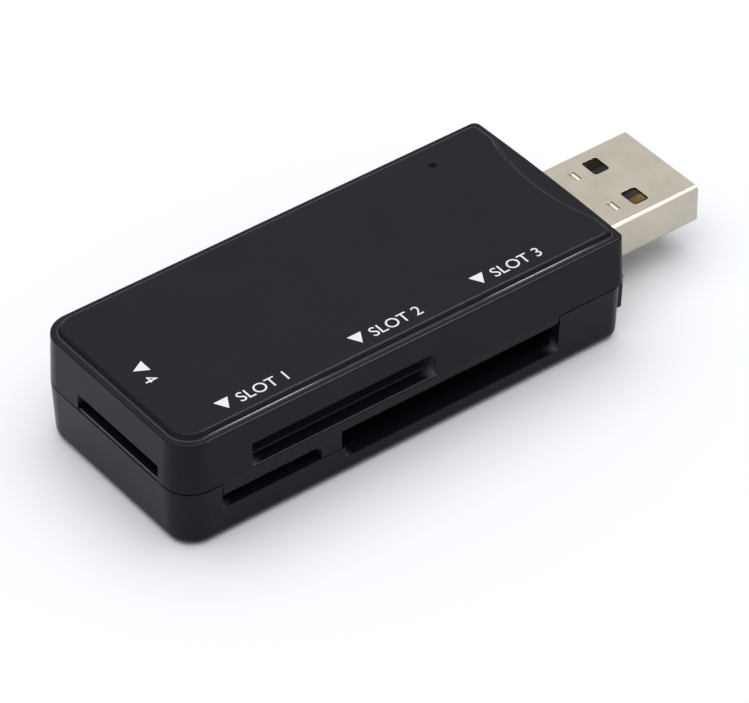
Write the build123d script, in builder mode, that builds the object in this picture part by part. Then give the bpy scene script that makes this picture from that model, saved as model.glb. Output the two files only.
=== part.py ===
from build123d import *
import math
import os

os.makedirs("parts", exist_ok=True)

# Housing, sizes in millimetres
body_width = 24.0
parting_height = 6.95
wall = 1.3
floor_thickness = 1.2
plug_margin = 8.51
blind_radius = 3.0
upper_plug_radius = 0.8
lower_plug_radius = 1.6
least_radius = 0.3
bottom_fillet = 1.1
rim_fillet = 0.2
upper_draft = 2.3
lower_draft = 2.6
end_bow = 0.2
shadow_height = 0.18
shadow_depth = 0.3
headroom = 0.75
deck_thickness = 1.1
lip_thickness = 0.55
lip_height = 0.8
lip_gap = 0.05
lip_margin = 4.0

# Raised pads beside the plug on the end wall
pad_below_parting = 3.55
pad_height = 4.1
pad_foot = 0.03
pad_head = 0.2
pad_offset = 0.5
pad_width = 3.0
pad_root = 0.6

# Top plate, the recess that holds it and the fine bead round the recess
rim_width = 0.9
bead_width = 0.26
bead_height = 0.12
bead_round = 0.11
recess_depth = 0.65
plate_gap = 0.05
plate_thickness = 1.2
plate_fillet = 0.32
plate_blind_radius = 2.2
plate_plug_radius = 0.65
arc_half_chord = 8.4
arc_depth = 1.45
arc_round = 1.5
peg_radius = 0.6
peg_gap = 0.05
peg_inset = 9.0
peg_spread = 12.0
lamp_from_plug_end = 8.65
lamp_from_back = 3.77
lamp_hole_radius = 0.4
lamp_shaft_radius = 0.7

# Card slots, along the front from the blind end and along the blind end from the front
micro_start = 4.46
micro_width = 11.86
micro_below_parting = 1.5
micro_height = 1.77
bridge_width = 2.45
wide_width = 27.12
wide_step = 0.5
wide_below_parting = 0.97
wide_height = 3.71
stick_start = 8.1
stick_width = 22.2
stick_sill = 0.28
stick_height = 2.77
stick_round = 0.24
end_start = 3.86
end_width = 13.41
end_height = 1.88
tongue_gap = 0.12
tongue_round = 0.5

# Plug
plug_reach = 14.6
plug_insert = 4.15
plug_width = 12.0
plug_height = 4.5
plug_drop = 0.95
plug_sheet = 0.3
plug_bend = 0.5
plug_gap = 0.1
window_from_tip = 6.08
window_spacing = 6.25
window_length = 1.94
window_width = 2.43
window_round = 0.35
dimple_from_tip = 8.85
dimple_spacing = 6.2
dimple_length = 1.5
dimple_radius = 0.42
dimple_depth = 0.22
leg_length = 2.5
leg_overhang = 0.7
insulator_gap = 0.05
insulator_setback = 0.4
insulator_rear = 0.75
insulator_block = 6.2
tongue_chamfer = 0.4
pin_thickness = 0.25
pin_width = 1.0
pin_bend = 0.2
pin_drop = 0.55
pin_proud = 0.05
pin_pitch_data = 2.0
pin_pitch_power = 7.0
pin_start_power = 1.0
pin_start_data = 2.0
pin_riser = 0.28
pin_tail = 2.6

# Circuit board and its posts
board_drop = 0.05
board_thickness = 0.8
board_gap = 0.3
board_end_gap = 0.15
post_radius = 0.85
post_inset = 1.45
post_blind = 2.9
post_plug = 5.8
stud_radius = 0.55
stud_gap = 0.05
stud_rise = 0.6

# Sockets and their spring contacts
socket_gap = 0.2
socket_roof = 0.3
socket_floor = 0.35
wide_setback = 2.2
wide_rail = 1.3
wide_ledge = 1.5
wide_lift = 0.2
wide_ledge_height = 0.5
rail = 1.15
bar_depth = 2.2
rear_space = 1.4
cover_sheet = 0.2
cover_side = 0.2
micro_plate = 0.65
micro_depth = 15.0
contact_thickness = 0.2
contact_bend = 0.15
contact_gap = 0.05
contact_reach = 4.4
contact_tail = 0.8
wide_contact_width = 0.9
wide_contact_pitch = 2.5
wide_contact_count = 9
stick_contact_width = 0.8
stick_contact_pitch = 2.0
stick_contact_count = 10
micro_contact_width = 0.6
micro_contact_pitch = 1.1
micro_contact_count = 8
end_contact_width = 0.5
end_contact_pitch = 1.0
end_contact_count = 11

# Parts on the board
chip_size = 7.0
chip_height = 1.4
chip_stand = 0.1
chip_after_stick = 8.1
chip_across = -1.0
chip_lead_count = 12
chip_lead_pitch = 0.5
chip_lead_width = 0.22
chip_lead_reach = 0.9
lead_thickness = 0.15
lead_bend = 0.1
crystal_length = 5.0
crystal_width = 2.5
crystal_space = 0.7
crystal_height = 1.2
lamp_length = 1.6
lamp_width = 0.8
lamp_height = 0.6
switch_length = 2.9
switch_width = 1.3
switch_height = 1.0
switch_lead_pitch = 1.9
switch_lead_width = 0.4
switch_lead_reach = 0.6
capacitor_length = 1.6
capacitor_width = 0.8
resistor_length = 1.0
resistor_width = 0.5
resistor_height = 0.35

# Levels and positions that follow from the sizes
stick_bottom = parting_height + stick_sill
stick_top = stick_bottom + stick_height
ceiling = stick_top + socket_roof + headroom
deck_top = ceiling + deck_thickness
rim_height = deck_top + recess_depth
micro_top = parting_height - micro_below_parting
micro_bottom = micro_top - micro_height
micro_end = micro_start + micro_width
wide_start = micro_end + bridge_width
wide_end = wide_start + wide_width
wide_top = parting_height - wide_below_parting
wide_bottom = wide_top - wide_height
stick_end = stick_start + stick_width
end_top = parting_height + end_height
pad_bottom = parting_height - pad_below_parting
body_length = wide_end + plug_margin
spread = (rim_height - parting_height) * math.tan(math.radians(upper_draft))
body_start = spread - (body_length + spread + plug_reach) / 2
body_end = body_start + body_length
front = -body_width / 2
back = body_width / 2
inner_front = front + wall
inner_back = back - wall
end_low = front + end_start
end_high = end_low + end_width
board_top = parting_height - board_drop
board_under = board_top - board_thickness
board_half = inner_back - board_gap
plug_tip = body_end + plug_reach
plug_rear = body_end - plug_insert
plug_middle = parting_height - plug_drop
board_end = plug_rear - board_end_gap
arc_radius = (arc_half_chord**2 + arc_depth**2) / (2 * arc_depth)
arc_centre = body_end - rim_width - plate_gap - arc_depth + arc_radius
lamp_x = body_end - lamp_from_plug_end
lamp_y = back - lamp_from_back
chip_x = body_start + stick_end + chip_after_stick


# A distance from the blind end as a position on the length axis
def along(distance):
    return body_start + distance


# A rectangular block between low and high limits
def block(x_span, y_span, z_span):
    with BuildPart() as piece:
        with BuildSketch(Plane.XY.offset(z_span[0])):
            with Locations(((x_span[0] + x_span[1]) / 2, (y_span[0] + y_span[1]) / 2)):
                Rectangle(x_span[1] - x_span[0], y_span[1] - y_span[0])
        extrude(amount=z_span[1] - z_span[0])
    return piece.part


# The body's outline seen from above, bowed beside the plug, with its own corner radius at each end
def outline(inset, blind_corner, plug_corner):
    half = body_width / 2 - inset
    left = body_start + inset
    right = body_end - inset
    with BuildSketch() as shape:
        with BuildLine():
            Polyline((right - end_bow, half), (left, half), (left, -half), (right - end_bow, -half))
            ThreePointArc((right - end_bow, -half), (right, 0), (right - end_bow, half))
        make_face()
        fillet(shape.vertices().group_by(Axis.X)[0], blind_corner)
        fillet(shape.vertices().group_by(Axis.X)[-1], plug_corner)
    return shape.sketch_local


# The same outline drawn parallel to the outer wall
def wall_outline(inset, plug_corner):
    return outline(inset, max(blind_radius - inset, least_radius), max(plug_corner - inset, least_radius))


# The plate's outline, grown by a gap for the recess, with the hollow arc beside the plug
def plate_outline(gap):
    with BuildSketch() as shape:
        add(outline(rim_width + plate_gap - gap, plate_blind_radius + gap, plate_plug_radius + gap))
        with Locations((arc_centre, 0)):
            Circle(arc_radius - gap, mode=Mode.SUBTRACT)
        arc_middle = (arc_centre - arc_radius, 0, 0)
        arc_edge = shape.edges().filter_by(GeomType.CIRCLE).sort_by_distance(arc_middle)[0]
        fillet(arc_edge.vertices(), arc_round + gap)
    return shape.sketch_local


# The lower half of the housing before its openings are cut
def lower_tub():
    with BuildPart() as piece:
        with BuildSketch(Plane.XY.offset(parting_height)):
            add(wall_outline(-spread, lower_plug_radius))
        extrude(amount=-parting_height, taper=lower_draft)
        fillet(piece.edges().group_by(Axis.Z)[0], bottom_fillet)
        with BuildSketch(Plane.XY.offset(parting_height)):
            add(wall_outline(wall, lower_plug_radius))
        extrude(amount=floor_thickness - parting_height, mode=Mode.SUBTRACT)
    return piece.part


# The part of the front wall below the parting line that belongs to the upper shell
def front_tongue():
    y_span = (front - wall, inner_front + wall)
    with BuildPart() as piece:
        left = along(micro_start + tongue_gap)
        right = along(wide_end - tongue_gap)
        add(block((left, right), y_span, (wide_top, parting_height)))
        corner = (right, front, wide_top)
        fillet(piece.edges().filter_by(Axis.Y).sort_by_distance(corner)[0], tongue_round)
        add(block((left, along(wide_start)), y_span, (micro_top, wide_top)))
        add(block((along(micro_end), along(wide_start)), y_span, (micro_bottom + tongue_gap, micro_top)))
        add(lower_tub(), mode=Mode.INTERSECT)
    return piece.part


# The ledge along the back wall that keeps the shells in line
def back_lip(gap):
    x_span = (body_start + lip_margin - gap, body_end - lip_margin + gap)
    y_span = (inner_back, inner_back + lip_thickness + gap)
    return block(x_span, y_span, (parting_height, parting_height + lip_height))


# The two raised pads on the end wall, between two heights
def end_pads(low, high):
    with BuildPart() as piece:
        with BuildSketch(Plane.XZ):
            with BuildLine():
                Polyline(
                    (body_end - pad_root, pad_bottom),
                    (body_end + pad_foot, pad_bottom),
                    (body_end + pad_head, pad_bottom + pad_height),
                    (body_end - pad_root, pad_bottom + pad_height),
                    close=True,
                )
            make_face()
        extrude(amount=body_width / 2 - pad_offset, both=True)
        half_gap = body_width / 2 - pad_offset - pad_width
        x_span = (body_end - 2 * pad_root, body_end + 2 * pad_root)
        add(block(x_span, (-half_gap, half_gap), (0, rim_height)), mode=Mode.SUBTRACT)
        add(block(x_span, (front, back), (low, high)), mode=Mode.INTERSECT)
    return piece.part


# The opening in the end wall for the plug's tube
def plug_opening():
    with BuildPart() as piece:
        with BuildSketch(Plane.YZ.offset(body_end - 2 * wall)):
            with Locations((0, plug_middle)):
                RectangleRounded(plug_width + 2 * plug_gap, plug_height + 2 * plug_gap, plug_bend + plug_gap)
        extrude(amount=3 * wall)
    return piece.part


# Where the three posts stand
def post_spots():
    across = inner_back - post_inset
    plug_side = body_end - post_plug
    return [(along(post_blind), across), (plug_side, across), (plug_side, -across)]


# Where the plate's four pegs stand
def peg_spots():
    ends = (body_start + peg_inset, body_end - peg_inset)
    return [(x, y) for x in ends for y in (-peg_spread / 2, peg_spread / 2)]


# A bent strip of sheet, its centre line drawn on a plane
def strip(plane, points, thickness, width, bend):
    with BuildPart() as piece:
        with BuildSketch(plane):
            with BuildLine():
                FilletPolyline(*points, radius=bend)
            trace(line_width=thickness)
        extrude(amount=width / 2, both=True)
    return piece.part


# A row of equal strips
def strip_row(plane, points, width, x_pitch, y_pitch, x_count, y_count):
    single = strip(plane, points, contact_thickness, width, contact_bend)
    with BuildPart() as row:
        with GridLocations(x_pitch, y_pitch, x_count, y_count):
            add(single)
    return row.part


# A row of equal grooves for the strips
def groove_row(x_span, y_span, z_span, x_pitch, y_pitch, x_count, y_count):
    single = block(x_span, y_span, z_span)
    with BuildPart() as row:
        with GridLocations(x_pitch, y_pitch, x_count, y_count):
            add(single)
    return row.part


# A card socket: side rails and a rear bar round a cavity, with a window through one side
def tray(x_span, y_span, z_span, cavity_z, window_z, side, ledge):
    inner = (x_span[0] + side, x_span[1] - side)
    depth = (y_span[0], y_span[1] - bar_depth)
    with BuildPart() as piece:
        add(block(x_span, y_span, z_span))
        add(block(inner, depth, cavity_z), mode=Mode.SUBTRACT)
        add(block((inner[0] + ledge, inner[1] - ledge), depth, window_z), mode=Mode.SUBTRACT)
    return piece.part


# Upper shell
with BuildPart() as upper_shell:
    with BuildSketch(Plane.XY.offset(parting_height)):
        add(wall_outline(-spread, upper_plug_radius))
    extrude(amount=rim_height - parting_height, taper=upper_draft)
    fillet(upper_shell.edges().group_by(Axis.Z)[-1], rim_fillet)
    with BuildSketch(Plane.XY.offset(deck_top)):
        add(plate_outline(plate_gap))
    extrude(amount=recess_depth, mode=Mode.SUBTRACT)
    with BuildSketch(Plane.XY.offset(rim_height)):
        add(plate_outline(plate_gap + bead_width))
        add(plate_outline(plate_gap), mode=Mode.SUBTRACT)
    extrude(amount=bead_height)
    fillet(upper_shell.faces().sort_by(Axis.Z)[-1].edges(), bead_round)
    with BuildSketch(Plane.XY.offset(parting_height)):
        add(wall_outline(wall, upper_plug_radius))
    extrude(amount=ceiling - parting_height, mode=Mode.SUBTRACT)
    with BuildSketch(Plane.XY.offset(ceiling)):
        with Locations(*peg_spots()):
            Circle(peg_radius + peg_gap)
        with Locations((lamp_x, lamp_y)):
            Circle(lamp_shaft_radius)
    extrude(amount=deck_thickness, mode=Mode.SUBTRACT)
    with BuildSketch(Plane.XY.offset(board_top)):
        with Locations(*post_spots()):
            Circle(post_radius)
    extrude(amount=ceiling - board_top)
    with BuildSketch(Plane.XY.offset(board_top)):
        with Locations(*post_spots()):
            Circle(stud_radius + stud_gap)
    extrude(amount=stud_rise + stud_gap, mode=Mode.SUBTRACT)
    add(front_tongue())
    add(end_pads(parting_height, rim_height))
    add(back_lip(lip_gap), mode=Mode.SUBTRACT)
    stick_span = (along(stick_start), along(stick_end))
    add(block(stick_span, (front - wall, inner_front + wall), (stick_bottom, stick_top)), mode=Mode.SUBTRACT)
    sill = ((stick_span[0] + stick_span[1]) / 2, front, stick_bottom)
    fillet(upper_shell.edges().filter_by(Axis.X).sort_by_distance(sill)[0], stick_round)
    end_depth = (body_start - wall, body_start + 2 * wall)
    add(block(end_depth, (end_low, end_high), (parting_height, end_top)), mode=Mode.SUBTRACT)
    add(plug_opening(), mode=Mode.SUBTRACT)
upper_shell.part.label = "upper_shell"
export_step(upper_shell.part, "parts/upper_shell.step")

# Lower shell
with BuildPart() as lower_shell:
    add(lower_tub())
    with BuildSketch(Plane.XY.offset(parting_height)):
        add(outline(-wall, blind_radius, blind_radius))
        add(wall_outline(shadow_depth - spread, lower_plug_radius), mode=Mode.SUBTRACT)
    extrude(amount=-shadow_height, mode=Mode.SUBTRACT)
    cut_depth = (front - wall, inner_front + wall)
    upper_cut = (along(micro_start), along(wide_end))
    lower_cut = (along(wide_start + wide_step), along(wide_end))
    add(block(upper_cut, cut_depth, (micro_bottom, parting_height)), mode=Mode.SUBTRACT)
    add(block(lower_cut, cut_depth, (wide_bottom, micro_bottom)), mode=Mode.SUBTRACT)
    add(end_pads(pad_bottom, parting_height - shadow_height))
    add(back_lip(0))
    add(plug_opening(), mode=Mode.SUBTRACT)
    with BuildSketch(Plane.XY.offset(floor_thickness)):
        with Locations(*post_spots()):
            Circle(post_radius)
    extrude(amount=board_under - floor_thickness)
    with BuildSketch(Plane.XY.offset(board_under)):
        with Locations(*post_spots()):
            Circle(stud_radius)
    extrude(amount=board_thickness + stud_rise)
lower_shell.part.label = "lower_shell"
export_step(lower_shell.part, "parts/lower_shell.step")

# Top plate with four pegs and the lamp's pinhole
with BuildPart() as top_plate:
    with BuildSketch(Plane.XY.offset(deck_top)):
        add(plate_outline(0))
    extrude(amount=plate_thickness)
    fillet(top_plate.edges().group_by(Axis.Z)[-1], plate_fillet)
    with BuildSketch(Plane.XY.offset(ceiling)):
        with Locations(*peg_spots()):
            Circle(peg_radius)
    extrude(amount=deck_thickness)
    with BuildSketch(Plane.XY.offset(deck_top)):
        with Locations((lamp_x, lamp_y)):
            Circle(lamp_hole_radius)
    extrude(amount=plate_thickness, mode=Mode.SUBTRACT)
top_plate.part.label = "top_plate"
export_step(top_plate.part, "parts/top_plate.step")

# Plug tube with latch windows, pressed grooves and two legs for the board
with BuildPart() as plug_shell:
    with BuildSketch(Plane.YZ.offset(plug_rear)):
        with Locations((0, plug_middle)):
            RectangleRounded(plug_width, plug_height, plug_bend)
            RectangleRounded(
                plug_width - 2 * plug_sheet,
                plug_height - 2 * plug_sheet,
                plug_bend - plug_sheet,
                mode=Mode.SUBTRACT,
            )
    extrude(amount=plug_tip - plug_rear)
    with BuildSketch(Plane.XY.offset(plug_middle - plug_height)):
        with Locations((plug_tip - window_from_tip, 0)):
            with GridLocations(0, window_spacing, 1, 2):
                RectangleRounded(window_length, window_width, window_round)
    extrude(amount=2 * plug_height, mode=Mode.SUBTRACT)
    groove_height = plug_middle + plug_height / 2 + dimple_radius - dimple_depth
    with BuildSketch(Plane.XZ):
        with Locations((plug_tip - dimple_from_tip, groove_height)):
            Circle(dimple_radius)
    extrude(amount=(dimple_spacing + dimple_length) / 2, both=True, mode=Mode.SUBTRACT)
    groove_span = (plug_tip - dimple_from_tip - dimple_radius, plug_tip - dimple_from_tip + dimple_radius)
    between = (dimple_spacing - dimple_length) / 2
    sheet_z = (plug_middle + plug_height / 2 - plug_sheet, plug_middle + plug_height / 2)
    add(block(groove_span, (-between, between), sheet_z))
    leg_x = (plug_rear - leg_length, plug_rear)
    leg_z = (board_under - leg_overhang, board_top + leg_overhang)
    add(block(leg_x, (plug_width / 2 - plug_sheet, plug_width / 2), leg_z))
    add(block(leg_x, (-plug_width / 2, plug_sheet - plug_width / 2), leg_z))
plug_shell.part.label = "plug_shell"
export_step(plug_shell.part, "parts/plug_shell.step")

# Plastic tongue inside the plug, with grooves for its contacts
tongue_half = plug_width / 2 - plug_sheet - insulator_gap
tongue_floor = plug_middle - plug_height / 2 + plug_sheet
tongue_tip = plug_tip - insulator_setback
pin_level = plug_middle - pin_drop
tongue_top = pin_level - pin_proud
pin_floor = pin_level - pin_thickness
with BuildPart() as plug_insulator:
    tongue_y = (-tongue_half, tongue_half)
    add(block((plug_rear + insulator_rear, tongue_tip), tongue_y, (tongue_floor, tongue_top)))
    nose = (tongue_tip, 0, tongue_top)
    chamfer(plug_insulator.edges().filter_by(Axis.Y).sort_by_distance(nose)[0], tongue_chamfer)
    block_x = (plug_rear + insulator_rear, plug_rear + insulator_rear + insulator_block)
    block_z = (tongue_floor, plug_middle + plug_height / 2 - plug_sheet - insulator_gap)
    add(block(block_x, tongue_y, block_z))
    long_edges = plug_insulator.edges().filter_by(Axis.X)
    fillet(long_edges.group_by(Axis.Z)[0] + long_edges.group_by(Axis.Z)[-1], plug_bend - plug_sheet)
    for pitch, start in ((pin_pitch_power, pin_start_power), (pin_pitch_data, pin_start_data)):
        groove_x = (plug_rear, tongue_tip - start + contact_gap)
        half_groove = pin_width / 2 + contact_gap
        groove_z = (pin_floor, pin_level + contact_gap)
        add(groove_row(groove_x, (-half_groove, half_groove), groove_z, 0, pitch, 1, 2), mode=Mode.SUBTRACT)
plug_insulator.part.label = "plug_insulator"
export_step(plug_insulator.part, "parts/plug_insulator.step")

# Plug contacts, bent up over the board's edge at the rear
with BuildPart() as plug_contacts:
    for pitch, start in ((pin_pitch_power, pin_start_power), (pin_pitch_data, pin_start_data)):
        path = [
            (tongue_tip - start, pin_level - pin_thickness / 2),
            (plug_rear + pin_riser, pin_level - pin_thickness / 2),
            (plug_rear + pin_riser, board_top + pin_thickness / 2),
            (board_end - pin_tail, board_top + pin_thickness / 2),
        ]
        pin = strip(Plane.XZ, path, pin_thickness, pin_width, pin_bend)
        with GridLocations(0, pitch, 1, 2):
            add(pin)
plug_contacts.part.label = "plug_contacts"
export_step(plug_contacts.part, "parts/plug_contacts.step")

# Circuit board with stud holes and notches for the plug's legs
with BuildPart() as circuit_board:
    board_start = body_start + wall + board_gap
    with BuildSketch(Plane.XY.offset(board_under)) as board_face:
        with Locations(((board_start + board_end) / 2, 0)):
            Rectangle(board_end - board_start, 2 * board_half)
        blind_corner = max(blind_radius - wall - board_gap, least_radius)
        fillet(board_face.vertices().group_by(Axis.X)[0], blind_corner)
        with Locations(*post_spots()):
            Circle(stud_radius + stud_gap, mode=Mode.SUBTRACT)
        notch_middle = (leg_x[0] - contact_gap + board_end) / 2
        with Locations((notch_middle, 0)):
            with GridLocations(0, plug_width - plug_sheet, 1, 2):
                notch_length = board_end - leg_x[0] + contact_gap
                Rectangle(notch_length, plug_sheet + 2 * contact_gap, mode=Mode.SUBTRACT)
    extrude(amount=board_thickness)
circuit_board.part.label = "circuit_board"
export_step(circuit_board.part, "parts/circuit_board.step")

# Wide card socket under the board
socket_front = inner_front + socket_gap
socket_back = inner_back - rear_space
channel_depth = 2 * contact_thickness
wide_middle = along((wide_start + wide_end) / 2)
wide_outer = (along(wide_start) + contact_gap, along(wide_end) - contact_gap)
wide_floor = wide_bottom + wide_lift
wide_shelf = wide_floor + wide_ledge_height
with BuildPart() as wide_socket:
    add(
        tray(
            wide_outer,
            (socket_front + wide_setback, socket_back),
            (wide_floor, board_under),
            (wide_shelf, board_under),
            (wide_floor, wide_shelf),
            wide_rail,
            wide_ledge,
        )
    )
    half_width = wide_contact_width / 2 + contact_gap
    channel_x = (wide_middle - half_width, wide_middle + half_width)
    channel_z = (board_under - channel_depth, board_under)
    channel_y = (socket_back - bar_depth, socket_back)
    add(
        groove_row(channel_x, channel_y, channel_z, wide_contact_pitch, 0, wide_contact_count, 1),
        mode=Mode.SUBTRACT,
    )
wide_socket.part.label = "wide_socket"
export_step(wide_socket.part, "parts/wide_socket.step")

# Spring contacts of the wide socket
bar_front = socket_back - bar_depth
with BuildPart() as wide_contacts:
    path = [
        (socket_back + contact_tail, board_under - contact_thickness / 2),
        (socket_back + contact_tail / 2, board_under - contact_thickness / 2),
        (socket_back, board_under - 3 * contact_thickness / 2),
        (bar_front, board_under - 3 * contact_thickness / 2),
        (bar_front - 0.75 * contact_reach, wide_shelf + wide_height / 2),
        (bar_front - contact_reach, wide_shelf + wide_height / 2 + contact_thickness),
    ]
    wide_plane = Plane.YZ.offset(wide_middle)
    add(strip_row(wide_plane, path, wide_contact_width, wide_contact_pitch, 0, wide_contact_count, 1))
wide_contacts.part.label = "wide_contacts"
export_step(wide_contacts.part, "parts/wide_contacts.step")

# Stick socket on the board, with a side opening in line with the end slot
stick_middle = along((stick_start + stick_end) / 2)
stick_outer = (along(stick_start - rail), along(stick_end + rail))
stick_floor = board_top + socket_floor
with BuildPart() as stick_socket:
    add(
        tray(
            stick_outer,
            (socket_front, socket_back),
            (board_top, stick_top + socket_roof),
            (stick_floor, stick_top),
            (stick_top, stick_top + socket_roof),
            rail,
            rail,
        )
    )
    side_x = (stick_outer[0], stick_outer[0] + rail)
    add(block(side_x, (end_low, end_high), (stick_floor, end_top)), mode=Mode.SUBTRACT)
    half_width = stick_contact_width / 2 + contact_gap
    channel_x = (stick_middle - half_width, stick_middle + half_width)
    channel_z = (board_top, board_top + channel_depth)
    channel_y = (bar_front - contact_reach, socket_back)
    add(
        groove_row(channel_x, channel_y, channel_z, stick_contact_pitch, 0, stick_contact_count, 1),
        mode=Mode.SUBTRACT,
    )
stick_socket.part.label = "stick_socket"
export_step(stick_socket.part, "parts/stick_socket.step")

# Spring contacts of the stick socket
with BuildPart() as stick_contacts:
    path = [
        (socket_back + contact_tail, board_top + contact_thickness / 2),
        (socket_back + contact_tail / 2, board_top + contact_thickness / 2),
        (socket_back, board_top + 3 * contact_thickness / 2),
        (bar_front, board_top + 3 * contact_thickness / 2),
        (bar_front - 0.75 * contact_reach, stick_floor + stick_height / 3),
        (bar_front - contact_reach, stick_floor + stick_height / 3 - contact_thickness),
    ]
    stick_plane = Plane.YZ.offset(stick_middle)
    add(strip_row(stick_plane, path, stick_contact_width, stick_contact_pitch, 0, stick_contact_count, 1))
stick_contacts.part.label = "stick_contacts"
export_step(stick_contacts.part, "parts/stick_contacts.step")

# Micro card socket: a plastic plate under the board
micro_middle = along((micro_start + micro_end) / 2)
micro_inner = (along(micro_start - cover_side), along(micro_end + cover_side))
micro_y = (socket_front, socket_front + micro_depth)
micro_ceiling = board_under - micro_plate
with BuildPart() as micro_socket:
    add(block(micro_inner, micro_y, (micro_ceiling, board_under)))
    half_width = micro_contact_width / 2 + contact_gap
    channel_x = (micro_middle - half_width, micro_middle + half_width)
    groove_z = (board_under - channel_depth, board_under)
    slot_z = (micro_ceiling, board_under)
    slot_y = (micro_y[1] - bar_depth - contact_reach, micro_y[1] - bar_depth)
    groove_y = (micro_y[1] - bar_depth, micro_y[1])
    count = micro_contact_count
    add(groove_row(channel_x, groove_y, groove_z, micro_contact_pitch, 0, count, 1), mode=Mode.SUBTRACT)
    add(groove_row(channel_x, slot_y, slot_z, micro_contact_pitch, 0, count, 1), mode=Mode.SUBTRACT)
micro_socket.part.label = "micro_socket"
export_step(micro_socket.part, "parts/micro_socket.step")

# Bent sheet cover of the micro socket
with BuildPart() as micro_cover:
    cover_x = (micro_inner[0] - cover_sheet, micro_inner[1] + cover_sheet)
    add(block(cover_x, micro_y, (micro_bottom - cover_sheet, board_under)))
    add(block(micro_inner, micro_y, (micro_bottom, board_under)), mode=Mode.SUBTRACT)
micro_cover.part.label = "micro_cover"
export_step(micro_cover.part, "parts/micro_cover.step")

# Spring contacts of the micro socket
with BuildPart() as micro_contacts:
    path = [
        (micro_y[1] + contact_tail, board_under - contact_thickness / 2),
        (micro_y[1] + contact_tail / 2, board_under - contact_thickness / 2),
        (micro_y[1], board_under - 3 * contact_thickness / 2),
        (slot_y[1], board_under - 3 * contact_thickness / 2),
        (slot_y[1] - 0.7 * contact_reach, micro_ceiling - contact_thickness),
        (slot_y[1] - 0.9 * contact_reach, micro_ceiling),
    ]
    add(strip_row(Plane.YZ.offset(micro_middle), path, micro_contact_width, micro_contact_pitch, 0, count, 1))
micro_contacts.part.label = "micro_contacts"
export_step(micro_contacts.part, "parts/micro_contacts.step")

# End card socket: a plastic plate on the board
end_middle = (end_low + end_high) / 2
end_inner = (end_low - cover_side, end_high + cover_side)
end_x = (body_start + wall + socket_gap, stick_outer[0] - cover_sheet)
with BuildPart() as end_socket:
    add(block(end_x, end_inner, (board_top, stick_floor)))
    half_width = end_contact_width / 2 + contact_gap
    channel_y = (end_middle - half_width, end_middle + half_width)
    end_channel_x = (end_x[0] + post_inset, end_x[1])
    end_channel_z = (board_top, stick_floor)
    add(
        groove_row(end_channel_x, channel_y, end_channel_z, 0, end_contact_pitch, 1, end_contact_count),
        mode=Mode.SUBTRACT,
    )
end_socket.part.label = "end_socket"
export_step(end_socket.part, "parts/end_socket.step")

# Bent sheet cover of the end socket
with BuildPart() as end_cover:
    cover_y = (end_inner[0] - cover_sheet, end_inner[1] + cover_sheet)
    add(block(end_x, cover_y, (board_top, end_top + cover_sheet)))
    add(block(end_x, end_inner, (board_top, end_top)), mode=Mode.SUBTRACT)
end_cover.part.label = "end_cover"
export_step(end_cover.part, "parts/end_cover.step")

# Spring contacts of the end socket
with BuildPart() as end_contacts:
    path = [
        (end_x[1] - contact_gap, board_top + contact_thickness / 2),
        (end_x[1] - contact_tail, board_top + contact_thickness / 2),
        (end_channel_x[0] + contact_tail, stick_floor + contact_thickness),
        (end_channel_x[0] + contact_gap, stick_floor),
    ]
    single = strip(Plane.XZ.offset(-end_middle), path, contact_thickness, end_contact_width, contact_bend)
    with GridLocations(0, end_contact_pitch, 1, end_contact_count):
        add(single)
end_contacts.part.label = "end_contacts"
export_step(end_contacts.part, "parts/end_contacts.step")

# Controller chip
chip_z = (board_top + chip_stand, board_top + chip_stand + chip_height)
with BuildPart() as controller_chip:
    half_chip = chip_size / 2
    chip_span = (chip_x - half_chip, chip_x + half_chip)
    add(block(chip_span, (chip_across - half_chip, chip_across + half_chip), chip_z))
    chamfer(controller_chip.edges().group_by(Axis.Z)[-1], chip_stand)
controller_chip.part.label = "controller_chip"
export_step(controller_chip.part, "parts/controller_chip.step")


# One row of bent leads standing out along the width axis
def lead_row(middle, root, reach, height, count, pitch, width):
    path = [
        (root, board_top + height),
        (root + 0.4 * reach, board_top + height),
        (root + 0.5 * reach, board_top + lead_thickness / 2),
        (root + reach, board_top + lead_thickness / 2),
    ]
    single = strip(Plane.YZ.offset(middle), path, lead_thickness, width, lead_bend)
    with BuildPart() as row:
        with GridLocations(pitch, 0, count, 1):
            add(single)
    return row.part


# Controller leads, one row on each side
with BuildPart() as controller_leads:
    side_row = lead_row(
        0, chip_size / 2, chip_lead_reach, chip_height / 2, chip_lead_count, chip_lead_pitch, chip_lead_width
    )
    with Locations((chip_x, chip_across)):
        with PolarLocations(0, 4):
            add(side_row)
controller_leads.part.label = "controller_leads"
export_step(controller_leads.part, "parts/controller_leads.step")

# Crystal can
crystal_y = chip_across - chip_size / 2 - chip_lead_reach - crystal_space - crystal_width
with BuildPart() as crystal:
    crystal_x = (chip_x - crystal_length / 2, chip_x + crystal_length / 2)
    add(block(crystal_x, (crystal_y, crystal_y + crystal_width), (board_top, board_top + crystal_height)))
    fillet(crystal.edges().group_by(Axis.Z)[-1], least_radius)
crystal.part.label = "crystal"
export_step(crystal.part, "parts/crystal.step")

# Status lamp under the plate's pinhole
with BuildPart() as status_led:
    lamp_span = (lamp_x - lamp_length / 2, lamp_x + lamp_length / 2)
    lamp_side = (lamp_y - lamp_width / 2, lamp_y + lamp_width / 2)
    add(block(lamp_span, lamp_side, (board_top, board_top + lamp_height)))
status_led.part.label = "status_led"
export_step(status_led.part, "parts/status_led.step")

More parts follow.
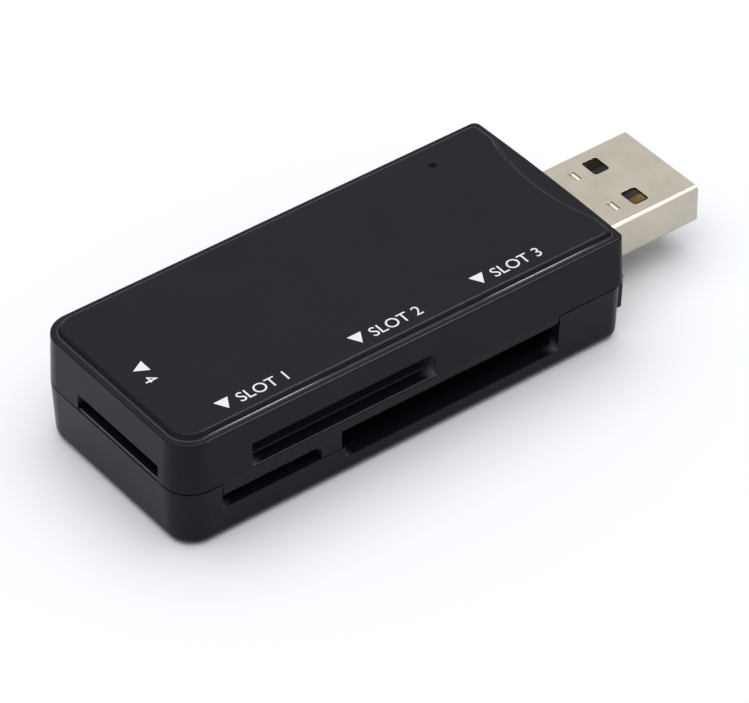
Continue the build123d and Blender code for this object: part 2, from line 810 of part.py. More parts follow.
# Power switch with three leads
switch_x = lamp_x
switch_y = front + lamp_from_back + switch_width
with BuildPart() as power_switch:
    switch_span = (switch_x - switch_length / 2, switch_x + switch_length / 2)
    switch_z = (board_top + chip_stand, board_top + chip_stand + switch_height)
    add(block(switch_span, (switch_y - switch_width / 2, switch_y + switch_width / 2), switch_z))
power_switch.part.label = "power_switch"
export_step(power_switch.part, "parts/power_switch.step")

with BuildPart() as switch_leads:
    lead_root = switch_width / 2
    lead_height = switch_height / 2
    pair = lead_row(0, lead_root, switch_lead_reach, lead_height, 2, switch_lead_pitch, switch_lead_width)
    lone = lead_row(0, lead_root, switch_lead_reach, lead_height, 1, 0, switch_lead_width)
    with Locations((switch_x, switch_y)):
        add(pair)
    with Locations(Location((switch_x, switch_y, 0), (0, 0, 180))):
        add(lone)
switch_leads.part.label = "switch_leads"
export_step(switch_leads.part, "parts/switch_leads.step")

# Small capacitors and resistors beside the controller
small_y = chip_across + chip_size / 2 + chip_lead_reach + 2 * capacitor_length
with BuildPart() as capacitors:
    with BuildSketch(Plane.XY.offset(board_top)):
        with Locations((chip_x, small_y)):
            with GridLocations(2 * capacitor_length, 2 * capacitor_width, 3, 2):
                Rectangle(capacitor_length, capacitor_width)
    extrude(amount=capacitor_width)
capacitors.part.label = "capacitors"
export_step(capacitors.part, "parts/capacitors.step")

with BuildPart() as resistors:
    with BuildSketch(Plane.XY.offset(board_top)):
        with Locations((chip_x, small_y + 3 * capacitor_width)):
            with GridLocations(2 * resistor_length, 0, 5, 1):
                Rectangle(resistor_length, resistor_width)
    extrude(amount=resistor_height)
resistors.part.label = "resistors"
export_step(resistors.part, "parts/resistors.step")
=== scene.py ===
"""Finishes, printed marks and studio for a stick-shaped memory card reader."""

import math

import bmesh
import bpy
from mathutils import Matrix, Quaternion, Vector


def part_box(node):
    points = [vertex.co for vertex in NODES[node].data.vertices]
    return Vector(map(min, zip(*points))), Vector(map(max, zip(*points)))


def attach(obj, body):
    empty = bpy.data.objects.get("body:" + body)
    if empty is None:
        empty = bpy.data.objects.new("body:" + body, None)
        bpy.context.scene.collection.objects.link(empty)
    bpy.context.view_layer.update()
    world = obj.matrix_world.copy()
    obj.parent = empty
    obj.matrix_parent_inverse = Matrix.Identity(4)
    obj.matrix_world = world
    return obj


bl_info = {
    "name": "Card Reader Finishes",
    "version": (1, 0, 0),
    "blender": (4, 5, 0),
    "location": "View3D > Sidebar > Card Reader",
    "description": "Dresses the pieces of a memory card reader and sets up a white studio",
    "category": "Object",
}

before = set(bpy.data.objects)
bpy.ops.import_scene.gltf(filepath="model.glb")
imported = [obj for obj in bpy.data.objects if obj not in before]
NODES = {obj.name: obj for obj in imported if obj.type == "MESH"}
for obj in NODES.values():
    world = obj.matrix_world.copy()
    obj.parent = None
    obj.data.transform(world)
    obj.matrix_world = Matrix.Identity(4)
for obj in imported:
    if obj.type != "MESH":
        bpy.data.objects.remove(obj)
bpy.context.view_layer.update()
MM = 0.001
WHITE = (1.0, 1.0, 1.0, 1.0)


# Property helpers

def colour(name, description, default):
    return bpy.props.FloatVectorProperty(
        name=name, description=description, default=default, subtype="COLOR", size=3, min=0.0, max=1.0
    )


def length(name, description, default):
    return bpy.props.FloatProperty(
        name=name, description=description, default=default, unit="LENGTH", min=0.0, precision=6
    )


def share(name, description, default):
    return bpy.props.FloatProperty(
        name=name, description=description, default=default, subtype="FACTOR", min=0.0, max=1.0
    )


def angle(name, description, default_degrees):
    return bpy.props.FloatProperty(
        name=name, description=description, default=math.radians(default_degrees), subtype="ANGLE"
    )


def power(name, description, default):
    return bpy.props.FloatProperty(
        name=name, description=description, default=default, subtype="POWER", min=0.0, precision=3
    )


class HousingLook(bpy.types.PropertyGroup):
    """Moulded plastic of the two shells"""

    tint: colour("Colour", "Colour of the moulded shells", (0.0088, 0.0083, 0.0128))
    roughness: share("Roughness", "Roughness of the satin surface", 0.22)
    gloss: share("Gloss", "Strength of the surface reflection", 0.10)
    grain_size: length("Grain Size", "Width of one grain of the mould texture", 0.16 * MM)
    grain_depth: length("Grain Depth", "Depth of the mould texture", 0.004 * MM)
    edge_round: length("Edge Round", "Softening of the moulded edges", 0.025 * MM)
    # Painted light: a pale colour in the slots and the groove, standing in for the light that reaches them
    painted_light: colour("Dust", "Colour of the film of dust in the slots and the groove", (0.26, 0.25, 0.29))
    painted_light_reach: length("Dust Reach", "Width of the hollows that gather dust", 2.5 * MM)
    bead_drop: length("Bead Drop", "Depth of the fine bead's foot below the plate's face", 0.53 * MM)
    bead_height: length("Bead Height", "Height over which the wear of the bead sets in", 0.04 * MM)
    worn_gloss: share("Worn Gloss", "Strength of the reflection where the front bead is worn", 1.0)
    wear_start: length("Wear Start", "Distance of a worn stretch from the plate's blind end", 9.5 * MM)
    wear_spacing: length("Wear Spacing", "Distance between the worn stretches", 33.5 * MM)


class PlateLook(bpy.types.PropertyGroup):
    """Plastic of the raised top plate"""

    tint: colour("Colour", "Colour of the top plate", (0.0084, 0.0079, 0.0125))
    roughness: share("Roughness", "Roughness of the satin surface", 0.25)
    gloss: share("Gloss", "Strength of the surface reflection", 0.09)
    grain_size: length("Grain Size", "Width of one grain of the mould texture", 0.13 * MM)
    grain_depth: length("Grain Depth", "Depth of the mould texture", 0.004 * MM)
    # Painted light: a pale colour on the plate's sheltered sides, standing in for the light that reaches
    # them beside the rim
    painted_light: colour("Dust", "Colour of the film of dust on the plate's sides", (0.058, 0.055, 0.066))
    painted_light_reach: length("Dust Reach", "Distance of the walls that shelter the dust", 0.8 * MM)


class PrintLook(bpy.types.PropertyGroup):
    """White marks printed on the top plate"""

    ink: colour("Ink", "Colour of the print", (0.80, 0.83, 0.86))
    thin_ink: share("Thin Ink", "Brightness of the ink where it is thin", 0.9)
    gloss: share("Gloss", "Strength of the surface reflection", 0.3)
    grain_size: length("Grain Size", "Width of one speckle of the ink", 0.15 * MM)
    thickness: length("Thickness", "Height of the ink above the plate", 0.012 * MM)
    arrow_length: length("Arrow Length", "Length of an arrow from its base to its point", 1.50 * MM)
    arrow_width: length("Arrow Width", "Width of an arrow's base", 1.66 * MM)
    letter_height: length("Letter Height", "Height of the letters and numbers", 1.35 * MM)
    label_gap: length("Label Gap", "Distance from an arrow's middle to its label", 1.50 * MM)
    front_margin: length("Front Margin", "Distance from the plate's front to the arrow points", 1.30 * MM)
    end_margin: length("End Margin", "Distance from the plate's blind end to its arrow", 2.12 * MM)


class PlugLook(bpy.types.PropertyGroup):
    """Steel tube, plastic tongue and contacts of the plug"""

    steel: colour("Steel", "Colour of the plated tube", (0.50, 0.46, 0.39))
    steel_roughness: share("Steel Roughness", "Roughness of the plated tube", 0.16)
    rolling_size: length("Rolling Marks", "Width of the rolling marks in the sheet", 0.10 * MM)
    edge_round: length("Edge Round", "Softening of the tube's edges", 0.05 * MM)
    gold: colour("Gold", "Colour of the plated contacts", (0.42, 0.28, 0.09))
    gold_roughness: share("Gold Roughness", "Roughness of the plated contacts", 0.30)
    gold_marks: length("Gold Marks", "Width of the rolling marks in the contacts", 0.08 * MM)
    tongue: colour("Tongue", "Colour of the plastic tongue", (0.24, 0.27, 0.27))
    tongue_roughness: share("Tongue Roughness", "Roughness of the plastic tongue", 0.45)
    tongue_grain: length("Tongue Grain", "Width of one grain of the tongue's texture", 0.12 * MM)


class SocketLook(bpy.types.PropertyGroup):
    """Card sockets behind the slots"""

    plastic: colour("Plastic", "Colour of the socket mouldings", (0.026, 0.025, 0.030))
    plastic_roughness: share("Plastic Roughness", "Roughness of the socket mouldings", 0.55)
    plastic_grain: length("Plastic Grain", "Width of one grain of the mouldings' texture", 0.12 * MM)
    # Painted light: a pale colour deep in the sockets, standing in for the light that reaches them
    painted_light: colour("Dust", "Colour of the dust deep in the sockets", (0.26, 0.25, 0.29))
    painted_light_reach: length("Dust Reach", "Depth of the hollows that gather dust", 4.0 * MM)
    cover: colour("Cover", "Colour of the sheet covers", (0.42, 0.42, 0.43))
    cover_roughness: share("Cover Roughness", "Roughness of the sheet covers", 0.38)
    cover_marks: length("Cover Marks", "Width of the rolling marks in the covers", 0.12 * MM)


class BoardLook(bpy.types.PropertyGroup):
    """Circuit board and the parts on it"""

    mask: colour("Solder Mask", "Colour of the board's coating", (0.010, 0.085, 0.030))
    track: colour("Tracks", "Colour of the coated copper tracks", (0.022, 0.170, 0.060))
    track_pitch: length("Track Pitch", "Distance between copper tracks", 1.3 * MM)
    sheen_size: length("Sheen Size", "Width of the patches of sheen on the coating", 0.5 * MM)
    ripple_size: length("Ripple Size", "Width of the ripples of the coating", 0.3 * MM)
    ripple_depth: length("Ripple Depth", "Depth of the ripples of the coating", 0.003 * MM)
    epoxy: colour("Epoxy", "Colour of the moulded chips", (0.018, 0.018, 0.019))
    tin: colour("Tin", "Colour of the tinned leads", (0.62, 0.62, 0.63))
    can: colour("Crystal Can", "Colour of the crystal's can", (0.58, 0.57, 0.54))
    lamp: colour("Lamp", "Colour of the status lamp's resin", (0.70, 0.80, 0.64))
    capacitor: colour("Capacitor", "Colour of the capacitor ceramic", (0.36, 0.25, 0.16))
    resistor: colour("Resistor", "Colour of the resistor bodies", (0.035, 0.035, 0.040))


class StageLook(bpy.types.PropertyGroup):
    """White studio, lamps and camera"""

    floor_tint: colour("Floor", "Colour of the floor", (0.95, 0.95, 0.96))
    floor_size: length("Floor Size", "Width of the floor", 4.0)
    sky_tint: colour("Sky", "Colour of the light from the surroundings", (0.90, 0.93, 1.0))
    sky_level: share("Sky Level", "Strength of the light from the surroundings", 0.505)
    key_power: power("Key Power", "Power of the large lamp overhead", 8.3)
    key_size: length("Key Size", "Width of the large lamp", 1.5)
    key_distance: length("Key Distance", "Distance of the large lamp", 0.9)
    edge_power: power("Edge Power", "Power of the high strip lamp that draws the front edges", 3.6)
    edge_length: length("Edge Length", "Length of the high strip lamp", 0.69)
    bend_power: power("Bend Power", "Power of the low strip lamp that shows in the plug's bend", 0.5)
    bend_length: length("Bend Length", "Length of the low strip lamp", 0.66)
    strip_breadth: length("Strip Breadth", "Breadth of the strip lamps", 0.12)
    strip_distance: length("Strip Distance", "Distance of the strip lamps", 0.9)
    camera_distance: length("Camera Distance", "Distance from the camera to its aim", 496.728 * MM)
    camera_azimuth: angle("Camera Azimuth", "Turn of the camera towards the blind end", 37.091)
    camera_height: angle("Camera Height", "Angle of the camera above the floor", 39.901)
    camera_roll: angle("Camera Roll", "Roll of the camera", -0.3453)
    camera_lens: bpy.props.FloatProperty(
        name="Camera Lens", description="Focal length of the camera", default=239.437, unit="CAMERA"
    )


# Samples of the nodes that look round a point for walls and edges
SHELTER_SAMPLES = 8
EDGE_SAMPLES = 6

# Openness of a surface at which the painted light in its hollows starts and is full
SHALLOW_PAINTED_LIGHT = (0.85, 0.45)
DEEP_PAINTED_LIGHT = (0.35, 0.05)

# Part of the range of a noise field or a wave that carries its change
NOISE_RANGE = (0.3, 0.7)
WAVE_RANGE = (0.2, 1.0)

# Moulded plastic: clouds of colour and patches of sheen, in grains, and how far they vary
FLOW_GRAINS = 60
FLOW_SHADES = (0.92, 1.08)
SHEEN_GRAINS = 4
SHEEN_SPREAD = 0.02
PART_GLOSS = 0.3
PART_GRAIN_DEPTH = 0.02

# Plated metal: clouds of colour, in rolling marks, how far it varies and a mark's depth per width
CLOUD_MARKS = 25
CLOUD_SHADES = (0.95, 1.05)
MARK_SPREAD = 0.05
MARK_DEPTH = 0.004

# How far rolling marks are drawn out along each axis
PLUG_STRETCH = (12.0, 1.0, 1.0)
COVER_STRETCH = (1.0, 10.0, 1.0)
CAN_STRETCH = (10.0, 1.0, 1.0)
NO_STRETCH = (1.0, 1.0, 1.0)

# Roughness of the ink and the board's coating, from smooth to rough, and a track's edge
INK_ROUGHNESS = (0.45, 0.60)
BOARD_ROUGHNESS = (0.25, 0.40)
TRACK_EDGE = (0.05, 0.12)

# Mouldings on the board: finish, colour, roughness, grain size and pieces
BOARD_MOULDINGS = (
    ("chip_epoxy", "epoxy", 0.6, 0.06 * MM, ("controller_chip", "power_switch")),
    ("lamp_resin", "lamp", 0.2, 0.20 * MM, ("status_led",)),
    ("capacitor_ceramic", "capacitor", 0.5, 0.08 * MM, ("capacitors",)),
    ("resistor_ceramic", "resistor", 0.5, 0.08 * MM, ("resistors",)),
)

# Metal on the board: finish, colour, roughness, width and stretch of its marks, and pieces
BOARD_METALS = (
    ("tinned_lead", "tin", 0.35, 0.05 * MM, NO_STRETCH, ("controller_leads", "switch_leads")),
    ("crystal_can", "can", 0.32, 0.08 * MM, CAN_STRETCH, ("crystal",)),
)

# Points of a letter closer together than this are one point
WELD = 1e-7

FLOOR_CELLS = 8
FLOOR_DROP = 0.01 * MM
FLOOR_ROUGHNESS = 0.9
SENSOR_WIDTH = 36.0
CLIP_END = 20.0

AIM = Vector((-3.7255, -1.7445, 3.1181)) * MM
KEY_DIRECTION = Vector((-0.02, 0.05, 1.0))
EDGE_DIRECTION = Vector((0.463, 0.015, 0.886))
BEND_DIRECTION = Vector((0.463, -0.570, 0.679))

# Each front mark: its label and the distance of its arrow from the plate's blind end
FRONT_MARKS = (("SLOT 1", 6.30 * MM), ("SLOT 2", 22.25 * MM), ("SLOT 3", 37.23 * MM))
END_LABEL = "4"
END_ARROW_ACROSS = 11.32 * MM


class Finish:
    """A node material being put together around its Principled shader."""

    def __init__(self, name, roughness, metallic=0.0, gloss=0.5):
        self.material = bpy.data.materials.new(name)
        self.material.use_nodes = True
        self.nodes = self.material.node_tree.nodes
        self.shader = self.nodes["Principled BSDF"]
        self.shader.inputs["Roughness"].default_value = roughness
        self.shader.inputs["Metallic"].default_value = metallic
        self.shader.inputs["Specular IOR Level"].default_value = gloss
        self.place = self.nodes.new("ShaderNodeTexCoord").outputs["Object"]

    def link(self, source, target):
        self.material.node_tree.links.new(source, target)

    def noise(self, size, detail=2.0, stretch=(1.0, 1.0, 1.0)):
        """A noise field whose grains are about one size wide, drawn out along an axis by its stretch."""
        mapping = self.nodes.new("ShaderNodeMapping")
        mapping.inputs["Scale"].default_value = [1.0 / (size * factor) for factor in stretch]
        self.link(self.place, mapping.inputs["Vector"])
        texture = self.nodes.new("ShaderNodeTexNoise")
        texture.inputs["Scale"].default_value = 1.0
        texture.inputs["Detail"].default_value = detail
        self.link(mapping.outputs["Vector"], texture.inputs["Vector"])
        return texture.outputs["Fac"]

    def span(self, value, limits, start=0.0, end=1.0):
        """A value carried from its limits to a start and an end, and held there."""
        node = self.nodes.new("ShaderNodeMapRange")
        node.inputs["From Min"].default_value = limits[0]
        node.inputs["From Max"].default_value = limits[1]
        node.inputs["To Min"].default_value = start
        node.inputs["To Max"].default_value = end
        self.link(value, node.inputs["Value"])
        return node.outputs["Result"]

    def product(self, first, second):
        node = self.nodes.new("ShaderNodeMath")
        node.operation = "MULTIPLY"
        self.link(first, node.inputs[0])
        self.link(second, node.inputs[1])
        return node.outputs["Value"]

    def vary_roughness(self, field, low, high):
        self.link(self.span(field, NOISE_RANGE, low, high), self.shader.inputs["Roughness"])

    def vary_colour(self, field, shades, limits=NOISE_RANGE):
        ramp = self.nodes.new("ShaderNodeValToRGB")
        for element, position, tint in zip(ramp.color_ramp.elements, limits, shades):
            element.position = position
            element.color = (*tint, 1.0)
        self.link(field, ramp.inputs["Fac"])
        self.link(ramp.outputs["Color"], self.shader.inputs["Base Color"])

    def paint_light_in_hollows(self, painted_light, reach, openness, own_walls):
        """Painted light: a pale colour where walls, the piece's own or any, shelter its surface, in place
        of the light that reaches the hollows.
        """
        shelter = self.nodes.new("ShaderNodeAmbientOcclusion")
        shelter.samples = SHELTER_SAMPLES
        shelter.only_local = own_walls
        shelter.inputs["Distance"].default_value = reach
        base = self.shader.inputs["Base Color"]
        clean = base.links[0].from_socket
        # Mix the painted light into the base colour where the surface is sheltered
        mix = self.nodes.new("ShaderNodeMix")
        mix.data_type = "RGBA"
        self.link(self.span(shelter.outputs["AO"], openness), mix.inputs["Factor"])
        self.link(clean, mix.inputs["A"])
        mix.inputs["B"].default_value = (*painted_light, 1.0)
        self.link(mix.outputs["Result"], base)

    def wear(self, front, foot, top, start, spacing, gloss, worn_gloss):
        """A stronger reflection on stretches of the ridge in front of a line and above a foot."""
        axes = self.nodes.new("ShaderNodeSeparateXYZ")
        self.link(self.place, axes.inputs["Vector"])
        turns = self.span(axes.outputs["X"], (start, start + spacing), 0.0, 2 * math.pi)
        turns.node.clamp = False
        wave = self.nodes.new("ShaderNodeMath")
        wave.operation = "COSINE"
        self.link(turns, wave.inputs[0])
        stretch = self.span(wave.outputs["Value"], WAVE_RANGE)
        ridge = self.span(axes.outputs["Z"], (foot, top))
        ahead = self.span(axes.outputs["Y"], (front + top - foot, front))
        worn = self.product(self.product(ridge, ahead), stretch)
        self.link(self.span(worn, (0.0, 1.0), gloss, worn_gloss), self.shader.inputs["Specular IOR Level"])

    def bump(self, field, depth, edge_round=0.0):
        """Relief of a given depth, on edges softened by a given radius."""
        relief = self.nodes.new("ShaderNodeBump")
        relief.inputs["Strength"].default_value = 1.0
        relief.inputs["Distance"].default_value = depth
        self.link(field, relief.inputs["Height"])
        if edge_round > 0.0:
            soft = self.nodes.new("ShaderNodeBevel")
            soft.samples = EDGE_SAMPLES
            soft.inputs["Radius"].default_value = edge_round
            self.link(soft.outputs["Normal"], relief.inputs["Normal"])
        self.link(relief.outputs["Normal"], self.shader.inputs["Normal"])

    def dress(self, *names):
        for name in names:
            node = NODES[name]
            node.data.materials.clear()
            node.data.materials.append(self.material)


def shade(tint, factor):
    return tuple(min(1.0, channel * factor) for channel in tint)


def moulded_plastic(name, tint, roughness, gloss, grain_size, grain_depth, edge_round=0.0):
    finish = Finish(name, roughness, gloss=gloss)
    grain = finish.noise(grain_size, detail=3.0)
    flow = finish.noise(FLOW_GRAINS * grain_size)
    finish.vary_colour(flow, [shade(tint, factor) for factor in FLOW_SHADES])
    sheen = finish.noise(SHEEN_GRAINS * grain_size, detail=4.0)
    finish.vary_roughness(sheen, roughness - SHEEN_SPREAD, roughness + SHEEN_SPREAD)
    finish.bump(grain, grain_depth, edge_round)
    return finish


def plated_metal(name, tint, roughness, mark_size, stretch, edge_round=0.0):
    finish = Finish(name, roughness, metallic=1.0)
    marks = finish.noise(mark_size, detail=3.0, stretch=stretch)
    cloud = finish.noise(CLOUD_MARKS * mark_size, detail=3.0)
    finish.vary_colour(cloud, [shade(tint, factor) for factor in CLOUD_SHADES])
    finish.vary_roughness(marks, roughness - MARK_SPREAD, roughness + MARK_SPREAD)
    finish.bump(marks, MARK_DEPTH * mark_size, edge_round)
    return finish


def moulded_part(name, tint, roughness, grain_size):
    return moulded_plastic(name, tint, roughness, PART_GLOSS, grain_size, PART_GRAIN_DEPTH * grain_size)


def piece_from_mesh(name, mesh, finish):
    mesh.name = name
    mesh.materials.clear()
    mesh.materials.append(finish.material)
    piece = bpy.data.objects.new(name, mesh)
    bpy.context.scene.collection.objects.link(piece)
    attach(piece, "root")
    return piece


def arrow_mesh(length_along, width, height):
    """A flat triangle with its point on the origin, pointing down the Y axis."""
    shape = bmesh.new()
    bmesh.ops.create_circle(shape, cap_ends=True, segments=3, radius=1.0)
    low = min(vertex.co.y for vertex in shape.verts)
    high = max(vertex.co.y for vertex in shape.verts)
    side = max(abs(vertex.co.x) for vertex in shape.verts)
    upright = Matrix.Translation((0.0, -high, 0.0))
    scale = Matrix.Diagonal((width / (2 * side), -length_along / (high - low), 1.0, 1.0))
    bmesh.ops.transform(shape, matrix=scale @ upright, verts=shape.verts)
    raised = bmesh.ops.extrude_face_region(shape, geom=shape.faces[:])
    top = [item for item in raised["geom"] if isinstance(item, bmesh.types.BMVert)]
    bmesh.ops.translate(shape, vec=(0.0, 0.0, height), verts=top)
    bmesh.ops.recalc_face_normals(shape, faces=shape.faces[:])
    mesh = bpy.data.meshes.new("arrow")
    shape.to_mesh(mesh)
    shape.free()
    return mesh


def label_mesh(words, cap_height, height):
    """Raised letters of a given height, starting at the origin and standing on the X axis."""
    curve = bpy.data.curves.new("label", "FONT")
    curve.body = words
    curve.extrude = height / 2
    holder = bpy.data.objects.new("label", curve)
    bpy.context.scene.collection.objects.link(holder)
    bpy.context.view_layer.update()
    evaluated = holder.evaluated_get(bpy.context.evaluated_depsgraph_get())
    mesh = bpy.data.meshes.new_from_object(evaluated)
    bpy.data.objects.remove(holder)
    bpy.data.curves.remove(curve)
    shape = bmesh.new()
    shape.from_mesh(mesh)
    bmesh.ops.remove_doubles(shape, verts=shape.verts[:], dist=WELD)
    tall = max(vertex.co.y for vertex in shape.verts)
    left = min(vertex.co.x for vertex in shape.verts)
    start = Matrix.Translation((-left, 0.0, height / 2))
    scale = Matrix.Diagonal((cap_height / tall, cap_height / tall, 1.0, 1.0))
    bmesh.ops.transform(shape, matrix=scale @ start, verts=shape.verts)
    bmesh.ops.recalc_face_normals(shape, faces=shape.faces[:])
    shape.to_mesh(mesh)
    shape.free()
    return mesh


class CARDREADER_OT_housing(bpy.types.Operator):
    """Give both shells their satin moulded plastic"""

    bl_idname = "card_reader.housing"
    bl_label = "Dress Housing"

    def execute(self, context):
        look = context.scene.card_reader_housing
        finish = moulded_plastic(
            "housing_plastic",
            look.tint,
            look.roughness,
            look.gloss,
            look.grain_size,
            look.grain_depth,
            look.edge_round,
        )
        # Painted light in the slots and the groove, where the shells' own walls shelter the surface
        finish.paint_light_in_hollows(look.painted_light, look.painted_light_reach, SHALLOW_PAINTED_LIGHT, True)
        low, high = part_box("top_plate")
        foot = high.z - look.bead_drop
        start = low.x + look.wear_start
        finish.wear(
            low.y, foot, foot + look.bead_height, start, look.wear_spacing, look.gloss, look.worn_gloss
        )
        finish.dress("upper_shell", "lower_shell")
        return {"FINISHED"}


class CARDREADER_OT_plate(bpy.types.Operator):
    """Give the raised top plate its plastic"""

    bl_idname = "card_reader.plate"
    bl_label = "Dress Plate"

    def execute(self, context):
        look = context.scene.card_reader_plate
        finish = moulded_plastic(
            "plate_plastic", look.tint, look.roughness, look.gloss, look.grain_size, look.grain_depth
        )
        # Painted light on the plate's sides, where the rim shelters them
        finish.paint_light_in_hollows(look.painted_light, look.painted_light_reach, SHALLOW_PAINTED_LIGHT, False)
        finish.dress("top_plate")
        return {"FINISHED"}


class CARDREADER_OT_print(bpy.types.Operator):
    """Print an arrow and a plain label for each slot on the top plate"""

    bl_idname = "card_reader.print"
    bl_label = "Print Marks"

    def execute(self, context):
        look = context.scene.card_reader_print
        low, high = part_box("top_plate")
        finish = Finish("print_ink", INK_ROUGHNESS[0], gloss=look.gloss)
        cover = finish.noise(look.grain_size)
        finish.vary_colour(cover, (shade(look.ink, look.thin_ink), look.ink))
        finish.vary_roughness(cover, *INK_ROUGHNESS)
        corner = Matrix.Translation((low.x, low.y, high.z - look.thickness))
        for number, (words, distance) in enumerate(FRONT_MARKS, start=1):
            spot = corner @ Matrix.Translation((distance, look.front_margin, 0.0))
            self.mark(f"slot_{number}", words, spot, look, finish)
        turn = Matrix.Rotation(-math.pi / 2, 4, "Z")
        spot = corner @ Matrix.Translation((look.end_margin, END_ARROW_ACROSS, 0.0)) @ turn
        self.mark("end_slot", END_LABEL, spot, look, finish)
        return {"FINISHED"}

    def mark(self, name, words, spot, look, finish):
        """One arrow with its point on the spot, and its label beside it."""
        height = 2 * look.thickness
        arrow = arrow_mesh(look.arrow_length, look.arrow_width, height)
        arrow.transform(spot)
        piece_from_mesh(name + "_arrow", arrow, finish)
        label = label_mesh(words, look.letter_height, height)
        label.transform(spot @ Matrix.Translation((look.label_gap, 0.0, 0.0)))
        piece_from_mesh(name + "_label", label, finish)


class CARDREADER_OT_plug(bpy.types.Operator):
    """Give the plug its plated tube, plastic tongue and gold contacts"""

    bl_idname = "card_reader.plug"
    bl_label = "Dress Plug"

    def execute(self, context):
        look = context.scene.card_reader_plug
        steel = plated_metal(
            "plug_steel",
            look.steel,
            look.steel_roughness,
            look.rolling_size,
            PLUG_STRETCH,
            look.edge_round,
        )
        steel.dress("plug_shell")
        gold = plated_metal("contact_gold", look.gold, look.gold_roughness, look.gold_marks, PLUG_STRETCH)
        gold.dress("plug_contacts", "wide_contacts", "stick_contacts", "micro_contacts", "end_contacts")
        tongue = moulded_part("tongue_plastic", look.tongue, look.tongue_roughness, look.tongue_grain)
        tongue.dress("plug_insulator")
        return {"FINISHED"}


class CARDREADER_OT_sockets(bpy.types.Operator):
    """Give the four card sockets their plastic and their sheet covers"""

    bl_idname = "card_reader.sockets"
    bl_label = "Dress Sockets"

    def execute(self, context):
        look = context.scene.card_reader_sockets
        plastic = moulded_part("socket_plastic", look.plastic, look.plastic_roughness, look.plastic_grain)
        # Painted light deep in the sockets, where walls shelter the surface
        plastic.paint_light_in_hollows(look.painted_light, look.painted_light_reach, DEEP_PAINTED_LIGHT, False)
        plastic.dress("wide_socket", "stick_socket", "micro_socket", "end_socket")
        sheet = plated_metal(
            "cover_steel", look.cover, look.cover_roughness, look.cover_marks, COVER_STRETCH
        )
        sheet.dress("micro_cover", "end_cover")
        return {"FINISHED"}


class CARDREADER_OT_board(bpy.types.Operator):
    """Give the circuit board its tracks and its parts their finishes"""

    bl_idname = "card_reader.board"
    bl_label = "Dress Board"

    def execute(self, context):
        look = context.scene.card_reader_board
        self.coated_board(look).dress("circuit_board")
        for name, tint, roughness, grain_size, pieces in BOARD_MOULDINGS:
            moulded_part(name, getattr(look, tint), roughness, grain_size).dress(*pieces)
        for name, tint, roughness, mark_size, stretch, pieces in BOARD_METALS:
            plated_metal(name, getattr(look, tint), roughness, mark_size, stretch).dress(*pieces)
        return {"FINISHED"}

    def coated_board(self, look):
        """Green coating over raised copper tracks."""
        finish = Finish("board_green", BOARD_ROUGHNESS[0])
        cells = finish.nodes.new("ShaderNodeTexVoronoi")
        cells.feature = "DISTANCE_TO_EDGE"
        cells.inputs["Scale"].default_value = 1.0 / look.track_pitch
        finish.link(finish.place, cells.inputs["Vector"])
        finish.vary_colour(cells.outputs["Distance"], (look.track, look.mask), TRACK_EDGE)
        finish.vary_roughness(finish.noise(look.sheen_size, detail=3.0), *BOARD_ROUGHNESS)
        finish.bump(finish.noise(look.ripple_size), look.ripple_depth)
        return finish


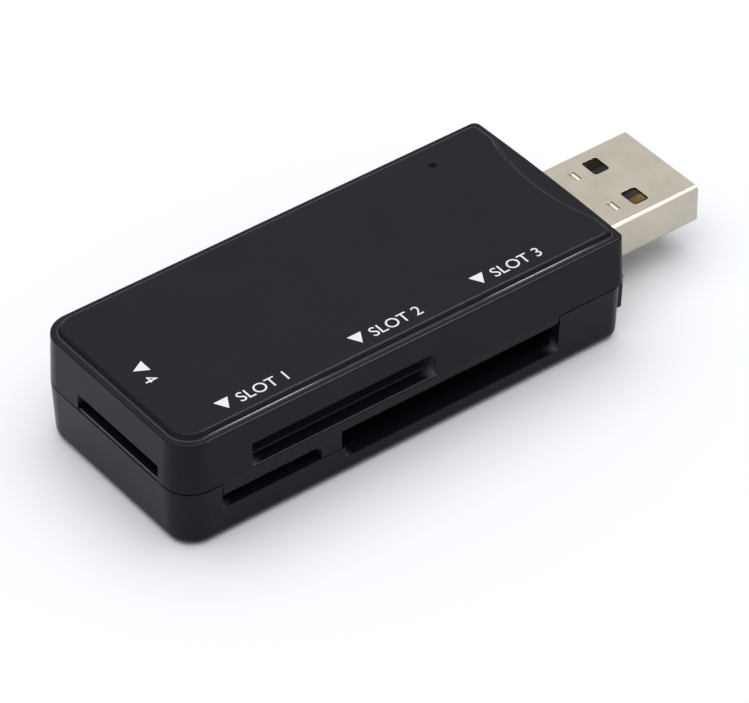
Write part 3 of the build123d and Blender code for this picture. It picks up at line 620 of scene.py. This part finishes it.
class CARDREADER_OT_stage(bpy.types.Operator):
    """Set up the white floor, the surroundings, the lamps and the camera"""

    bl_idname = "card_reader.stage"
    bl_label = "Set Stage"

    def execute(self, context):
        look = context.scene.card_reader_stage
        self.floor(context.scene, look)
        self.surroundings(context.scene, look)
        key = self.lamp(context.scene, "key_lamp", KEY_DIRECTION * look.key_distance, look.key_power)
        key.data.shape = "DISK"
        key.data.size = look.key_size
        edge = self.lamp(context.scene, "edge_lamp", EDGE_DIRECTION * look.strip_distance, look.edge_power)
        self.make_strip(edge, look.edge_length, look.strip_breadth)
        bend = self.lamp(context.scene, "bend_lamp", BEND_DIRECTION * look.strip_distance, look.bend_power)
        self.make_strip(bend, look.bend_length, look.strip_breadth)
        self.camera(context.scene, look)
        context.scene.view_settings.view_transform = "Standard"
        return {"FINISHED"}

    def seen_directly(self, tree):
        """One for rays from the camera, mirrors and glass, and zero for light that spreads."""
        path = tree.nodes.new("ShaderNodeLightPath")
        total = path.outputs["Is Camera Ray"]
        for name in ("Is Glossy Ray", "Is Transmission Ray"):
            either = tree.nodes.new("ShaderNodeMath")
            either.operation = "MAXIMUM"
            tree.links.new(total, either.inputs[0])
            tree.links.new(path.outputs[name], either.inputs[1])
            total = either.outputs["Value"]
        return total

    def floor(self, scene, look):
        shape = bmesh.new()
        half = look.floor_size / 2
        bmesh.ops.create_grid(shape, x_segments=FLOOR_CELLS, y_segments=FLOOR_CELLS, size=half)
        bmesh.ops.translate(shape, vec=(0.0, 0.0, -FLOOR_DROP), verts=shape.verts)
        mesh = bpy.data.meshes.new("floor")
        shape.to_mesh(mesh)
        shape.free()
        floor = bpy.data.objects.new("floor", mesh)
        scene.collection.objects.link(floor)
        material = bpy.data.materials.new("floor_white")
        material.use_nodes = True
        shader = material.node_tree.nodes["Principled BSDF"]
        shader.inputs["Base Color"].default_value = (*look.floor_tint, 1.0)
        shader.inputs["Roughness"].default_value = FLOOR_ROUGHNESS
        shader.inputs["Specular IOR Level"].default_value = 0.0
        mesh.materials.append(material)

    def surroundings(self, scene, look):
        world = bpy.data.worlds.new("white_studio")
        world.use_nodes = True
        tree = world.node_tree
        background = tree.nodes["Background"]
        mix = tree.nodes.new("ShaderNodeMix")
        mix.data_type = "RGBA"
        mix.inputs["A"].default_value = (*shade(look.sky_tint, look.sky_level), 1.0)
        mix.inputs["B"].default_value = WHITE
        tree.links.new(self.seen_directly(tree), mix.inputs["Factor"])
        tree.links.new(mix.outputs["Result"], background.inputs["Color"])
        scene.world = world

    def lamp(self, scene, name, place, watts):
        """An area lamp that faces the object, its length in a plane across the object's long axis."""
        data = bpy.data.lights.new(name, "AREA")
        data.energy = watts
        lamp = bpy.data.objects.new(name, data)
        lamp.location = place
        outward = place.normalized()
        run = Vector((1.0, 0.0, 0.0)).cross(outward).normalized()
        lamp.rotation_euler = Matrix((run, outward.cross(run), outward)).transposed().to_euler()
        lamp.visible_camera = False
        scene.collection.objects.link(lamp)
        return lamp

    def make_strip(self, lamp, along, across):
        """A rectangle that only shows as a reflection on glossy edges."""
        lamp.data.shape = "RECTANGLE"
        lamp.data.size = along
        lamp.data.size_y = across
        lamp.visible_diffuse = False

    def camera(self, scene, look):
        level = math.cos(look.camera_height)
        back = Vector(
            (
                -math.sin(look.camera_azimuth) * level,
                -math.cos(look.camera_azimuth) * level,
                math.sin(look.camera_height),
            )
        )
        data = bpy.data.cameras.new("photo_camera")
        data.lens = look.camera_lens
        data.sensor_width = SENSOR_WIDTH
        data.clip_end = CLIP_END
        camera = bpy.data.objects.new("photo_camera", data)
        camera.location = AIM + back * look.camera_distance
        roll = Quaternion((0.0, 0.0, 1.0), look.camera_roll)
        camera.rotation_euler = ((-back).to_track_quat("-Z", "Y") @ roll).to_euler()
        scene.collection.objects.link(camera)
        scene.camera = camera


LOOKS = {
    "card_reader_housing": HousingLook,
    "card_reader_plate": PlateLook,
    "card_reader_print": PrintLook,
    "card_reader_plug": PlugLook,
    "card_reader_sockets": SocketLook,
    "card_reader_board": BoardLook,
    "card_reader_stage": StageLook,
}

OPERATORS = (
    CARDREADER_OT_housing,
    CARDREADER_OT_plate,
    CARDREADER_OT_print,
    CARDREADER_OT_plug,
    CARDREADER_OT_sockets,
    CARDREADER_OT_board,
    CARDREADER_OT_stage,
)


class CARDREADER_PT_finishes(bpy.types.Panel):
    """Looks of the card reader and the buttons that make them"""

    bl_idname = "CARDREADER_PT_finishes"
    bl_label = "Card Reader"
    bl_space_type = "VIEW_3D"
    bl_region_type = "UI"
    bl_category = "Card Reader"

    def draw(self, context):
        for (attribute, group), operator in zip(LOOKS.items(), OPERATORS):
            section = self.layout.box()
            look = getattr(context.scene, attribute)
            for name in group.__annotations__:
                section.prop(look, name)
            section.operator(operator.bl_idname)


CLASSES = (*LOOKS.values(), *OPERATORS, CARDREADER_PT_finishes)


def register():
    for item in CLASSES:
        bpy.utils.register_class(item)
    for attribute, group in LOOKS.items():
        setattr(bpy.types.Scene, attribute, bpy.props.PointerProperty(type=group))


def unregister():
    for attribute in LOOKS:
        delattr(bpy.types.Scene, attribute)
    for item in reversed(CLASSES):
        bpy.utils.unregister_class(item)


def main():
    register()
    bpy.ops.card_reader.housing()
    bpy.ops.card_reader.plate()
    bpy.ops.card_reader.print()
    bpy.ops.card_reader.plug()
    bpy.ops.card_reader.sockets()
    bpy.ops.card_reader.board()
    bpy.ops.card_reader.stage()


if __name__ == "__main__":
    main()
